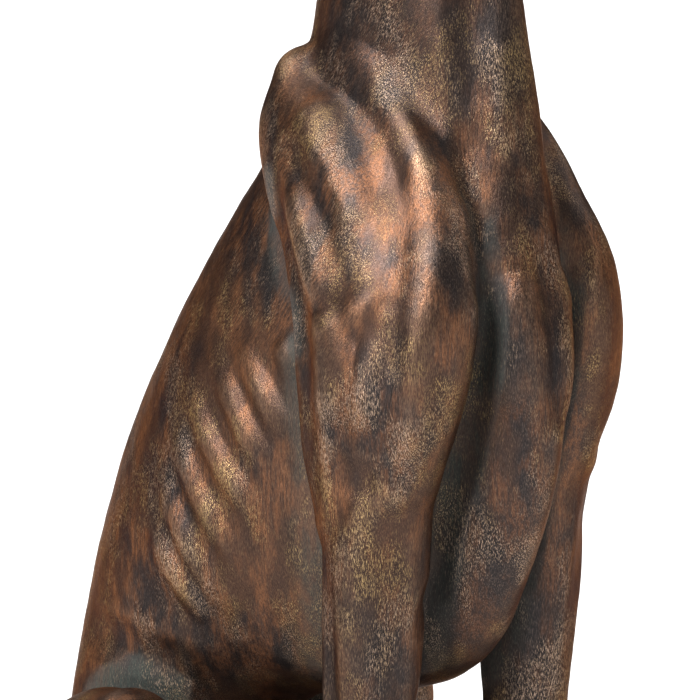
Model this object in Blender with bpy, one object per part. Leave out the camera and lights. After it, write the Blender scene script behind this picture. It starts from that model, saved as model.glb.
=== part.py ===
"""A seated greyhound, cast hollow in bronze, on a low base.

Run with: blender --background --python part.py, or from Blender's text editor. Metres, +Z up.
The dog looks along -Y and its left side is +X. The origin is the middle of the base's underside.
Places on the dog are hundredths of its own height: ahead of the forelegs, above the soles, and
out from its middle plane.
"""

import math
from typing import NamedTuple

import bmesh
import bpy
import numpy as np
from mathutils import Vector
from mathutils.bvhtree import BVHTree

# Driving sizes, in metres
FIGURE_HEIGHT = 0.770
BASE_THICKNESS = 0.030
BASE_MARGIN = 0.020
BASE_CORNER_RADIUS = 0.030
BASE_EDGE_ROUND = 0.004
SEAT_GAP = 0.0003

# Hundredths of the figure's height
SHARE = FIGURE_HEIGHT / 100.0
FORELEGS_AHEAD = 18.2
CLAY_GRAIN = 0.45
CLAY_SMOOTHING = 14
FACES_WANTED = 9400
RING_POINTS = 28
STEPS_BETWEEN = 5

FOOT_HEIGHT = 5.0
STROKE_FADE = 0.25
PAGE_HEIGHT = 47.5
VIEWS = {"side": (-90.0, 0.0), "quarter": (-45.0, 8.0), "front": (0.0, 0.0), "back": (180.0, 0.0)}

SOLE_LEVEL = BASE_THICKNESS + SEAT_GAP


class Slice(NamedTuple):
    """A cut through the trunk, neck or head: back edge, belly edge, half width and how narrow the belly is."""

    back: tuple
    belly: tuple
    half_width: float
    keel: float = 0.0


class Knot(NamedTuple):
    """A cut through a limb or a muscle: out from the middle, ahead, up, and its half sizes."""

    out: float
    ahead: float
    up: float
    half_side: float
    half_fore: float


class Stroke(NamedTuple):
    """A modelling stroke drawn on the clay as one view shows it: its points, its reach and how far it lifts."""

    view: str
    points: list
    reach: float
    lift: float


TRUNK = [
    Slice((-34.5, 3.0), (-25.0, -1.0), 7.0),
    Slice((-37.2, 9.0), (-23.5, 4.5), 8.8, 0.05),
    Slice((-37.7, 16.0), (-21.5, 10.5), 8.9, 0.1),
    Slice((-36.9, 22.5), (-17.5, 17.6), 8.7, 0.15),
    Slice((-35.2, 29.0), (-11.0, 20.6), 9.5, 0.25),
    Slice((-32.9, 35.0), (-3.5, 21.7), 10.3, 0.35),
    Slice((-29.7, 41.6), (3.6, 25.2), 10.9, 0.42),
    Slice((-25.7, 48.2), (8.6, 34.0), 10.8, 0.45),
    Slice((-21.2, 54.7), (10.9, 42.6), 10.0, 0.42),
    Slice((-16.7, 60.6), (10.6, 50.0), 8.9, 0.32),
    Slice((-13.2, 67.0), (9.0, 57.0), 7.6, 0.2),
    Slice((-11.7, 73.5), (7.0, 66.0), 6.5, 0.1),
    Slice((-10.6, 80.0), (5.4, 75.0), 5.5),
    Slice((-9.6, 86.5), (4.0, 82.5), 4.7),
    Slice((-8.2, 92.5), (2.2, 87.0), 4.2),
]

HEAD = [
    Slice((-6.6, 94.6), (-3.2, 85.6), 3.9),
    Slice((-4.0, 98.2), (-0.8, 85.2), 4.4),
    Slice((0.4, 99.8), (2.4, 85.6), 4.4),
    Slice((4.6, 99.0), (5.8, 86.0), 3.9),
    Slice((8.2, 97.0), (8.9, 86.3), 3.1),
    Slice((11.8, 95.4), (12.2, 86.6), 2.6),
    Slice((16.0, 94.0), (16.0, 87.0), 2.3),
    Slice((19.6, 93.0), (19.2, 87.4), 2.0),
    Slice((21.4, 92.0), (20.8, 88.2), 1.5),
]

EAR = [
    Knot(3.2, -0.8, 97.8, 0.9, 1.6),
    Knot(4.5, -2.6, 97.6, 0.9, 2.1),
    Knot(5.0, -5.0, 96.0, 0.8, 1.9),
    Knot(4.9, -7.6, 93.4, 0.65, 1.3),
    Knot(4.6, -9.2, 91.4, 0.6, 0.7),
]

FORELEG = [
    Knot(8.0, 0.9, 42.0, 3.9, 4.3),
    Knot(8.05, 0.8, 36.5, 3.9, 4.1),
    Knot(8.15, 0.4, 30.5, 3.8, 4.0),
    Knot(8.3, 0.0, 23.0, 3.35, 3.55),
    Knot(8.3, 0.0, 16.5, 2.85, 3.1),
    Knot(8.25, 0.4, 11.5, 2.75, 3.1),
    Knot(8.2, 1.0, 7.0, 2.5, 2.7),
    Knot(8.2, 2.4, 3.3, 2.9, 3.0),
]

SHOULDER_BLADE = [
    Knot(4.9, -10.4, 66.6, 2.4, 2.9),
    Knot(5.7, -8.8, 63.6, 3.1, 4.6),
    Knot(6.4, -6.0, 60.2, 3.6, 5.6),
    Knot(7.0, -2.0, 56.0, 4.0, 5.6),
    Knot(7.5, 1.3, 52.0, 4.2, 5.0),
]

UPPER_ARM = [
    Knot(5.5, 1.2, 60.2, 2.9, 3.5),
    Knot(6.7, 2.8, 55.2, 3.7, 4.3),
    Knot(7.55, 3.7, 50.9, 4.0, 4.5),
    Knot(7.9, 3.6, 47.0, 3.9, 4.5),
    Knot(8.1, 2.4, 43.0, 3.9, 4.4),
    Knot(8.1, 1.2, 39.0, 3.8, 4.1),
]

TRICEPS = [
    Knot(6.2, -8.6, 62.0, 2.6, 3.6),
    Knot(7.8, -5.0, 57.0, 3.0, 3.8),
    Knot(8.7, -2.0, 51.5, 3.3, 3.7),
    Knot(9.0, -0.9, 46.0, 3.4, 3.6),
    Knot(8.8, -0.8, 40.5, 3.4, 3.5),
    Knot(8.5, -0.6, 36.0, 3.3, 3.4),
]

HAUNCH = [
    Knot(5.2, -34.0, 8.0, 4.4, 5.4),
    Knot(8.4, -30.4, 10.2, 4.8, 6.9),
    Knot(10.9, -26.4, 12.8, 4.7, 6.8),
    Knot(12.7, -22.6, 15.4, 4.4, 5.8),
    Knot(13.3, -20.0, 16.9, 4.1, 4.6),
]

SHANK = [
    Knot(13.3, -20.4, 15.8, 3.7, 4.2),
    Knot(13.0, -24.5, 12.0, 3.0, 4.0),
    Knot(12.4, -29.8, 7.6, 2.3, 2.8),
    Knot(11.8, -34.0, 4.2, 1.9, 2.1),
]

HIND_FOOT = [
    Knot(11.8, -34.4, 2.4, 1.9, 2.2),
    Knot(12.2, -29.0, 1.7, 1.9, 1.9),
    Knot(12.7, -22.5, 1.6, 2.1, 1.9),
    Knot(13.1, -17.2, 1.9, 2.6, 2.2),
]

TAIL = [
    Knot(0.0, -34.0, 6.5, 2.6, 2.6),
    Knot(1.4, -38.6, 3.2, 2.0, 2.0),
    Knot(6.0, -41.0, 1.5, 1.7, 1.7),
    Knot(12.0, -40.0, 1.3, 1.5, 1.5),
    Knot(16.0, -35.0, 1.2, 1.35, 1.35),
    Knot(17.0, -27.5, 1.1, 1.2, 1.2),
    Knot(16.6, -20.0, 0.9, 1.0, 1.0),
    Knot(16.6, -16.0, 0.8, 0.8, 0.8),
]

STROKES = [
    # The blade: its front edge and the hollow beside it, its spine and the hollow behind that
    Stroke("quarter", [(-9.6, 68.9), (-7.4, 67.9), (-5.3, 65.6), (-3.6, 62.8), (-2.2, 58.4)], 1.9, 0.45),
    Stroke("quarter", [(-5.0, 68.4), (-2.8, 65.7), (-1.0, 62.4), (0.3, 58.8), (1.2, 54.7)], 1.7, -0.3),
    Stroke("quarter", [(-10.1, 65.4), (-9.1, 62.8), (-8.0, 60.2), (-7.2, 58.0)], 1.9, 0.45),
    Stroke("quarter", [(-12.0, 62.5), (-10.9, 59.6), (-9.3, 56.6), (-7.7, 53.9), (-6.6, 51.1)], 1.5, -0.45),
    # The arm: behind the blade, the triceps, two cords down its front, the point and the fold of the elbow
    Stroke("quarter", [(-12.0, 59.4), (-11.2, 56.6), (-10.2, 54.0), (-9.3, 51.4)], 1.7, 0.5),
    Stroke("quarter", [(-8.4, 50.2), (-7.6, 47.8), (-6.9, 45.6), (-7.2, 42.6)], 3.2, 0.45),
    Stroke("quarter", [(-2.2, 53.5), (-2.5, 51.0), (-2.9, 46.6), (-3.2, 43.1), (-3.6, 39.6)], 1.4, 0.35),
    Stroke("quarter", [(-0.6, 57.0), (-0.9, 53.3), (-0.7, 49.6), (-0.8, 45.3), (-1.8, 39.2)], 1.4, 0.4),
    Stroke("quarter", [(-4.8, 51.0), (-4.9, 46.6), (-5.1, 43.1), (-5.7, 39.8)], 1.3, -0.3),
    Stroke("quarter", [(-8.9, 39.9), (-7.2, 38.7), (-5.6, 38.5)], 1.3, -0.35),
    Stroke("quarter", [(-7.2, 33.2), (-6.8, 35.0), (-5.8, 36.2), (-4.4, 36.8), (-3.2, 38.2)], 1.1, 0.4),
    Stroke("quarter", [(-7.8, 34.8), (-7.6, 31.0), (-7.7, 27.0), (-7.7, 22.0)], 1.6, 0.3),
    # The crease between the arm and the ribs
    Stroke("quarter", [(-12.8, 59.1), (-12.0, 54.6), (-10.8, 49.6), (-10.5, 43.5), (-9.8, 36.4)], 1.4, -0.6),
    # The breast: the hollow beside the arm, the muscle in front and the furrow down the middle
    Stroke("quarter", [(2.5, 50.0), (2.0, 44.5), (0.4, 38.0), (-1.2, 31.4), (-2.2, 25.5)], 1.5, -0.5),
    Stroke("quarter", [(3.6, 53.0), (4.6, 49.5), (4.9, 46.2), (4.2, 43.2)], 2.4, 0.55),
    Stroke("front", [(0.0, 57.0), (0.0, 52.0), (0.0, 47.0), (0.0, 43.0)], 1.6, -0.6),
    # The neck: the windpipe, the long muscle beside it and the hollow behind that
    Stroke("front", [(0.0, 82.0), (0.0, 76.0), (0.0, 70.0), (0.0, 64.0)], 1.7, 0.35),
    Stroke("quarter", [(3.4, 79.0), (3.4, 73.0), (3.5, 68.0), (3.8, 63.0), (4.0, 58.0)], 1.5, 0.35),
    Stroke("quarter", [(1.0, 76.0), (1.2, 70.0), (1.4, 65.0), (1.7, 60.0)], 1.7, -0.4),
    # The thigh: the hollow above it, the dip behind it and the fold over the shank
    Stroke("side", [(-30.0, 23.0), (-26.0, 22.8), (-21.0, 22.0)], 1.8, -0.4),
    Stroke("side", [(-33.0, 16.0), (-29.5, 13.0), (-27.5, 9.0)], 2.6, -0.35),
    Stroke("side", [(-31.5, 9.6), (-28.0, 6.8), (-24.0, 5.6)], 1.4, -0.3),
    # The head: the eye socket, the cheek and the line of the mouth
    Stroke("side", [(5.4, 95.2), (6.6, 94.9), (7.8, 94.5)], 1.3, -0.35),
    Stroke("side", [(0.6, 90.6), (2.4, 90.0), (4.2, 89.4)], 2.2, 0.35),
    Stroke("side", [(9.5, 89.5), (13.0, 89.2), (17.0, 89.3), (20.5, 90.0)], 0.8, -0.3),
]

RIBS = [
    [(-12.2, 48.2), (-11.8, 47.1), (-11.2, 45.6)],
    [(-15.1, 47.4), (-14.2, 45.3), (-13.1, 43.2), (-12.0, 41.6)],
    [(-16.8, 45.8), (-15.9, 43.4), (-14.7, 40.9), (-13.4, 38.7)],
    [(-18.8, 43.4), (-17.9, 40.9), (-16.2, 38.0), (-13.7, 35.0)],
    [(-20.0, 40.9), (-19.3, 38.0), (-17.9, 35.0), (-15.9, 32.1)],
    [(-21.2, 37.6), (-20.4, 34.7), (-19.0, 31.8), (-17.2, 29.2)],
    [(-22.0, 33.9), (-21.0, 31.4), (-19.3, 28.8), (-17.9, 27.4)],
]
RIB_REACH = 0.95
RIB_LIFT = 0.4

TOE_SPREAD = [-1.75, -0.62, 0.62, 1.75]
TOE_AHEAD = [-0.5, 0.45, 0.45, -0.5]
FOREPAW = (8.2, 3.7)
HINDPAW = (13.2, -15.2)


def spot(out, ahead, up):
    """A place on the figure in metres, from hundredths of its height."""
    return np.array([out * SHARE, -(ahead + FORELEGS_AHEAD) * SHARE, SOLE_LEVEL + up * SHARE])


def eased(rows, steps=STEPS_BETWEEN):
    """Rows of numbers on a smooth curve through the given ones."""
    keys = np.array(rows, float)
    keys = np.vstack([2 * keys[0] - keys[1], keys, 2 * keys[-1] - keys[-2]])
    t = (np.arange(steps) / steps)[:, None]
    found = []
    for a, b, c, d in zip(keys, keys[1:], keys[2:], keys[3:]):
        found.append(
            b + 0.5 * t * (c - a) + 0.5 * t**2 * (2 * a - 5 * b + 4 * c - d)
            + 0.5 * t**3 * (3 * b - a - 3 * c + d)
        )
    return np.vstack([*found, keys[-2:-1]])


def skin(clay, centres, sides, fores, half_sides, half_fores, keels):
    """Adds one closed tube to the clay: a ring of points for each cut, and a dome on both ends."""
    turns = np.linspace(0, 2 * math.pi, RING_POINTS, endpoint=False)
    rings = []

    def ring(i, along=0.0, scale=1.0, outward=None):
        centre = centres[i] + (outward * along if outward is not None else 0)
        narrow = 1 - keels[i] * (1 + np.cos(turns)) / 2
        across = np.outer(np.sin(turns) * narrow, sides[i]) * half_sides[i] * scale
        return centre + across + np.outer(np.cos(turns), fores[i]) * half_fores[i] * scale

    def dome(i, outward):
        depth = min(half_sides[i], half_fores[i])
        tilts = [math.radians(a) for a in (25, 50, 72)]
        return [ring(i, depth * math.sin(a), math.cos(a), outward) for a in tilts], (
            centres[i] + outward * depth
        )

    first = centres[0] - centres[1]
    last = centres[-1] - centres[-2]
    start, start_tip = dome(0, first / np.linalg.norm(first))
    end, end_tip = dome(len(centres) - 1, last / np.linalg.norm(last))
    rings = start[::-1] + [ring(i) for i in range(len(centres))] + end
    loops = [[clay.verts.new(p) for p in points] for points in rings]
    for low, high in zip(loops, loops[1:]):
        for k in range(RING_POINTS):
            j = (k + 1) % RING_POINTS
            clay.faces.new((low[k], low[j], high[j], high[k]))
    for loop, tip in ((loops[0], start_tip), (loops[-1], end_tip)):
        point = clay.verts.new(tip)
        for k in range(RING_POINTS):
            clay.faces.new((loop[k], loop[(k + 1) % RING_POINTS], point))


def add_slices(clay, slices):
    """Adds a form on the middle plane, such as the trunk, through its slices."""
    rows = eased([(*s.back, *s.belly, s.half_width, s.keel) for s in slices])
    backs = np.array([spot(0, r[0], r[1]) for r in rows])
    bellies = np.array([spot(0, r[2], r[3]) for r in rows])
    depths = np.linalg.norm(bellies - backs, axis=1)
    skin(
        clay,
        (backs + bellies) / 2,
        np.tile([1.0, 0.0, 0.0], (len(rows), 1)),
        (bellies - backs) / depths[:, None],
        rows[:, 4] * SHARE,
        depths / 2,
        rows[:, 5],
    )


def add_limb(clay, knots, side, reference=(1.0, 0.0, 0.0)):
    """Adds a limb or muscle through its knots, on the side given as 1 for left or -1 for right."""
    rows = eased(knots)
    centres = np.array([spot(side * r[0], r[1], r[2]) for r in rows])
    tangents = np.gradient(centres, axis=0)
    tangents /= np.linalg.norm(tangents, axis=1)[:, None]
    sides = np.array(reference) - tangents * (tangents @ np.array(reference))[:, None]
    sides /= np.linalg.norm(sides, axis=1)[:, None]
    fores = np.cross(tangents, sides)
    skin(clay, centres, sides, fores, rows[:, 3] * SHARE, rows[:, 4] * SHARE, np.zeros(len(rows)))


def add_paw(clay, out, ahead, side):
    """Adds the four arched toes of one paw."""
    for spread, reach in zip(TOE_SPREAD, TOE_AHEAD):
        toe = [
            Knot(out + spread * 0.8, ahead + reach - 1.6, 1.5, 0.85, 1.5),
            Knot(out + spread, ahead + reach + 0.2, 1.3, 0.9, 1.6),
            Knot(out + spread, ahead + reach + 1.9, 0.7, 0.75, 1.1),
        ]
        add_limb(clay, toe, side)


def clay_forms():
    """All the closed forms that the figure is put together from, still overlapping."""
    clay = bmesh.new()
    add_slices(clay, TRUNK)
    add_slices(clay, HEAD)
    for side in (-1, 1):
        for knots in (EAR, FORELEG, SHOULDER_BLADE, UPPER_ARM, TRICEPS, HAUNCH, SHANK, HIND_FOOT):
            add_limb(clay, knots, side)
        add_paw(clay, *FOREPAW, side)
        add_paw(clay, *HINDPAW, side)
    add_limb(clay, TAIL, 1, reference=(0.0, 0.0, 1.0))
    bmesh.ops.recalc_face_normals(clay, faces=clay.faces)
    return clay


def view_axes(view):
    """The page of a view: the way to its right, the way up it, and the way it is looked at along."""
    azimuth, elevation = (math.radians(angle) for angle in VIEWS[view])
    right = np.array([math.cos(azimuth), math.sin(azimuth), 0.0])
    ahead = np.array([-math.sin(azimuth), math.cos(azimuth), 0.0])
    gaze = ahead * math.cos(elevation) - np.array([0.0, 0.0, math.sin(elevation)])
    return right, np.cross(right, gaze), gaze


def on_skin(tree, view, points):
    """The stroke's points, drawn on a view's page, where they meet the skin."""
    right, up, gaze = view_axes(view)
    middle = spot(0.0, 0.0, PAGE_HEIGHT)
    found = []
    for across, height in eased(points):
        start = middle + right * across * SHARE + up * (height - PAGE_HEIGHT) * SHARE - gaze * FIGURE_HEIGHT
        place = tree.ray_cast(Vector(start), Vector(gaze))[0]
        if place is not None:
            found.append(place)
    return np.array(found)


def nearness(places, line):
    """How far each place is from a line of points, and how far along the line that is, from 0 to 1."""
    best = np.full(len(places), np.inf)
    along = np.zeros(len(places))
    for i, (start, end) in enumerate(zip(line, line[1:])):
        step = end - start
        t = np.clip((places - start) @ step / max(step @ step, 1e-12), 0, 1)
        far = np.linalg.norm(places - start - t[:, None] * step, axis=1)
        closer = far < best
        best[closer] = far[closer]
        along[closer] = (i + t[closer]) / (len(line) - 1)
    return best, along


def carve(mesh, strokes):
    """Lifts or sinks the skin along each stroke, on both sides of the figure."""
    places = np.empty(len(mesh.vertices) * 3)
    mesh.vertices.foreach_get("co", places)
    places = places.reshape(-1, 3)
    normals = np.empty(len(mesh.vertices) * 3)
    mesh.vertex_normals.foreach_get("vector", normals)
    normals = normals.reshape(-1, 3)
    faces = [tuple(p.vertices) for p in mesh.polygons]
    tree = BVHTree.FromPolygons([tuple(p) for p in places], faces)
    lift = np.zeros(len(places))
    for stroke in strokes:
        line = on_skin(tree, stroke.view, stroke.points)
        if len(line) < 2:
            continue
        reach = stroke.reach * SHARE
        for mirror in ((1, 1, 1), (-1, 1, 1)):
            drawn = line * mirror
            near = np.all((places > drawn.min(0) - reach) & (places < drawn.max(0) + reach), axis=1)
            index = np.flatnonzero(near)
            far, along = nearness(places[index], drawn)
            round_over = np.clip(1 - (far / reach) ** 2, 0, 1) ** 2
            fade = np.clip(np.minimum(along, 1 - along) / STROKE_FADE, 0, 1)
            lift[index] += stroke.lift * SHARE * round_over * (0.15 + 0.85 * np.sin(fade * math.pi / 2))
            if stroke.view == "front" and all(p[0] == 0 for p in stroke.points):
                break
    mesh.vertices.foreach_set("co", (places + normals * lift[:, None]).ravel())
    mesh.update()


def all_strokes():
    """The strokes that are listed, and one for each rib."""
    return STROKES + [Stroke("quarter", rib, RIB_REACH, RIB_LIFT) for rib in RIBS]


def new_object(name, mesh):
    """Links a new object with this mesh."""
    made = bpy.data.objects.new(name, mesh)
    bpy.context.scene.collection.objects.link(made)
    return made


def evaluated(piece):
    """A plain mesh of the object with its modifiers applied."""
    graph = bpy.context.evaluated_depsgraph_get()
    return bpy.data.meshes.new_from_object(piece.evaluated_get(graph))


def fused(clay, grain, smoothing):
    """One closed skin over all the forms, its joins softened."""
    mesh = bpy.data.meshes.new("clay")
    clay.to_mesh(mesh)
    clay.free()
    lump = new_object("clay", mesh)
    remesh = lump.modifiers.new("Fuse", "REMESH")
    remesh.mode = "VOXEL"
    remesh.voxel_size = grain
    smooth = lump.modifiers.new("Soften", "SMOOTH")
    smooth.factor = 0.5
    smooth.iterations = smoothing
    result = evaluated(lump)
    bpy.data.objects.remove(lump)
    return result


def metal(name, colour, roughness):
    """A bronze finish."""
    made = bpy.data.materials.new(name)
    made.use_nodes = True
    shader = made.node_tree.nodes["Principled BSDF"]
    shader.inputs["Base Color"].default_value = (*colour, 1.0)
    shader.inputs["Roughness"].default_value = roughness
    shader.inputs["Metallic"].default_value = 1.0
    return made


def build_greyhound():
    """The casting: fused, carved, brought down to few faces and cut flat at the soles."""
    mesh = fused(clay_forms(), CLAY_GRAIN * SHARE, CLAY_SMOOTHING)
    mesh.name = "greyhound"
    carve(mesh, all_strokes())
    figure = new_object("greyhound", mesh)
    faces = figure.modifiers.new("Fewer faces", "DECIMATE")
    faces.ratio = FACES_WANTED / (2 * len(mesh.polygons))
    flat = figure.modifiers.new("Flat soles", "BOOLEAN")
    flat.operation = "DIFFERENCE"
    flat.object = sole_cutter()
    mesh.materials.append(metal("bronze", (0.20, 0.13, 0.09), 0.42))
    return figure


def sole_cutter():
    """A hidden block under the soles."""
    half = FIGURE_HEIGHT
    clay = bmesh.new()
    bmesh.ops.create_cube(clay, size=1.0)
    bmesh.ops.scale(clay, vec=(2 * half, 2 * half, half), verts=clay.verts)
    bmesh.ops.translate(clay, vec=(0, 0, SOLE_LEVEL - half / 2), verts=clay.verts)
    mesh = bpy.data.meshes.new("sole cutter")
    clay.to_mesh(mesh)
    clay.free()
    cutter = new_object("sole_cutter", mesh)
    cutter.hide_render = True
    cutter.display_type = "WIRE"
    return cutter


def build_base(figure):
    """The low base: a slab with round corners and eased edges, a margin wider than the feet and tail."""
    low = [v.co for v in figure.data.vertices if v.co.z < SOLE_LEVEL + FOOT_HEIGHT * SHARE]
    width = 2 * (max(abs(place.x) for place in low) + BASE_MARGIN)
    length = 2 * (max(abs(place.y) for place in low) + BASE_MARGIN)
    clay = bmesh.new()
    bmesh.ops.create_cube(clay, size=1.0)
    bmesh.ops.scale(clay, vec=(width, length, BASE_THICKNESS), verts=clay.verts)
    bmesh.ops.translate(clay, vec=(0, 0, BASE_THICKNESS / 2), verts=clay.verts)
    upright = [e for e in clay.edges if abs(e.verts[0].co.z - e.verts[1].co.z) > BASE_THICKNESS / 2]
    bmesh.ops.bevel(clay, geom=upright, offset=BASE_CORNER_RADIUS, segments=8, affect="EDGES", profile=0.5)
    rim = [e for e in clay.edges if all(v.co.z > BASE_THICKNESS * 0.99 for v in e.verts)]
    bmesh.ops.bevel(clay, geom=rim, offset=BASE_EDGE_ROUND, segments=3, affect="EDGES", profile=0.5)
    mesh = bpy.data.meshes.new("base")
    clay.to_mesh(mesh)
    clay.free()
    base = new_object("base", mesh)
    mesh.materials.append(metal("dark bronze", (0.09, 0.07, 0.055), 0.5))
    return base


def main():
    """Builds the statue."""
    for old in list(bpy.data.objects):
        bpy.data.objects.remove(old)
    build_base(build_greyhound())


main()
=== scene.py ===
"""A seated greyhound, cast hollow in bronze, on a low base, in a plain pale studio.

The dog looks along -Y, its left side is +X and +Z is up. The figure is put together as a modeller
does it: rough forms of clay, one skin over them, then strokes that lift or sink the skin, and last a
patina that is rubbed bright on the crests and left green in the hollows, with painted highlight on the
broad crests and painted shade on the front of the neck, the breast, the forelegs and behind the elbows.

Places on the dog are hundredths of its own height: out from its middle plane, ahead of the forelegs
and up from the soles.
"""

from __future__ import annotations

import logging
import math
from dataclasses import dataclass, field
from enum import Enum

import bpy
import numpy as np
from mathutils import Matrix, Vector, noise
from mathutils.bvhtree import BVHTree
from mathutils.kdtree import KDTree

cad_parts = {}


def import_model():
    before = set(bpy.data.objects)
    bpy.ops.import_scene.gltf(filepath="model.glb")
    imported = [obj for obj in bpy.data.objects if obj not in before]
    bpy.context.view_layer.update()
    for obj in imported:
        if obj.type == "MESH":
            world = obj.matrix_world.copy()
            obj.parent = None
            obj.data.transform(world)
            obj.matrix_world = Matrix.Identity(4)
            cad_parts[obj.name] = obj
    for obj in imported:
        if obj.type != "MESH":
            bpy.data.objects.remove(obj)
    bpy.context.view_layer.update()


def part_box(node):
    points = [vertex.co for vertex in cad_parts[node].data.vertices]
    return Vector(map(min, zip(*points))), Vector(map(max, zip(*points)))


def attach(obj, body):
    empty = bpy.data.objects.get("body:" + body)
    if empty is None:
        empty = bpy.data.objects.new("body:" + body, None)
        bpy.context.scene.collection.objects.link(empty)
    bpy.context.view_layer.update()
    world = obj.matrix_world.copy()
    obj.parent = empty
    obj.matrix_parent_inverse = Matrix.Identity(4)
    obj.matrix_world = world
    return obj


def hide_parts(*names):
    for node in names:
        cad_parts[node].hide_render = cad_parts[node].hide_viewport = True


LOG = logging.getLogger("greyhound")

MIRRORS = {1: np.array([1.0, 1.0, 1.0]), -1: np.array([-1.0, 1.0, 1.0])}


class Page(Enum):
    """The views that strokes are drawn on: azimuth and elevation in degrees."""

    SIDE = (-90.0, 0.0)
    QUARTER = (-45.0, 8.0)
    FRONT = (0.0, 0.0)
    BACK = (180.0, 0.0)
    REAR_QUARTER = (-135.0, 8.0)

    def axes(self) -> tuple[np.ndarray, np.ndarray, np.ndarray]:
        """The way to the page's right, the way up it and the way it is looked at along."""
        azimuth, elevation = (math.radians(angle) for angle in self.value)
        right = np.array([math.cos(azimuth), math.sin(azimuth), 0.0])
        ahead = np.array([-math.sin(azimuth), math.cos(azimuth), 0.0])
        gaze = ahead * math.cos(elevation) - np.array([0.0, 0.0, math.sin(elevation)])
        return right, np.cross(right, gaze), gaze


@dataclass(frozen=True)
class Slice:
    """A cut through the trunk or head: back edge, belly edge, half width and how narrow the belly is."""

    back: tuple[float, float]
    belly: tuple[float, float]
    half_width: float
    keel: float = 0.0


@dataclass(frozen=True)
class Knot:
    """A cut through a limb or a muscle: out from the middle, ahead, up, and its half sizes."""

    out: float
    ahead: float
    up: float
    half_side: float
    half_fore: float

    def row(self) -> tuple[float, ...]:
        """The cut as plain numbers."""
        return (self.out, self.ahead, self.up, self.half_side, self.half_fore)


@dataclass(frozen=True)
class Stroke:
    """A modelling stroke as one page shows it: its points, its reach and how far it lifts the skin."""

    page: Page
    points: tuple[tuple[float, float], ...]
    reach: float
    lift: float


@dataclass(frozen=True)
class Scale:
    """Turns hundredths of the figure's height into metres in the row's frame."""

    share: float
    sole_level: float
    forelegs_ahead: float = 18.2
    page_height: float = 47.5

    def spot(self, out: float, ahead: float, up: float) -> np.ndarray:
        """A place on the figure in metres."""
        y = -(ahead + self.forelegs_ahead) * self.share
        return np.array([out * self.share, y, self.sole_level + up * self.share])


def eased(rows: list[tuple[float, ...]], steps: int = 5) -> np.ndarray:
    """Rows of numbers on a smooth curve through the given ones.

    Args:
        rows: the rows that the curve passes through.
        steps: how many rows each stretch is given.

    Returns:
        The rows along the curve, from the first given one to the last.
    """
    keys = np.array(rows, float)
    keys = np.vstack([2 * keys[0] - keys[1], keys, 2 * keys[-1] - keys[-2]])
    t = (np.arange(steps) / steps)[:, None]
    found = []
    for a, b, c, d in zip(keys, keys[1:], keys[2:], keys[3:]):
        square = 0.5 * t**2 * (2 * a - 5 * b + 4 * c - d)
        found.append(b + 0.5 * t * (c - a) + square + 0.5 * t**3 * (3 * b - a - 3 * c + d))
    return np.vstack([*found, keys[-2:-1]])


def select_only(piece: bpy.types.Object) -> None:
    """Selects one object and makes it the active one."""
    bpy.ops.object.select_all(action="DESELECT")
    piece.select_set(True)
    bpy.context.view_layer.objects.active = piece


def apply_modifiers(piece: bpy.types.Object) -> None:
    """Applies all modifiers of an object, in their order."""
    select_only(piece)
    for modifier in list(piece.modifiers):
        bpy.ops.object.modifier_apply(modifier=modifier.name)


def numbers(collection: bpy.types.bpy_prop_collection, name: str, width: int) -> np.ndarray:
    """Reads one property of all elements of a mesh as rows of numbers.

    Args:
        collection: the mesh's vertices, normals or edges.
        name: the property to read.
        width: how many numbers each element has.

    Returns:
        An array with one row for each element.
    """
    kind = np.int32 if name == "vertices" else np.float64
    flat = np.empty(len(collection) * width, kind)
    collection.foreach_get(name, flat)
    return flat.reshape(-1, width)


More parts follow.
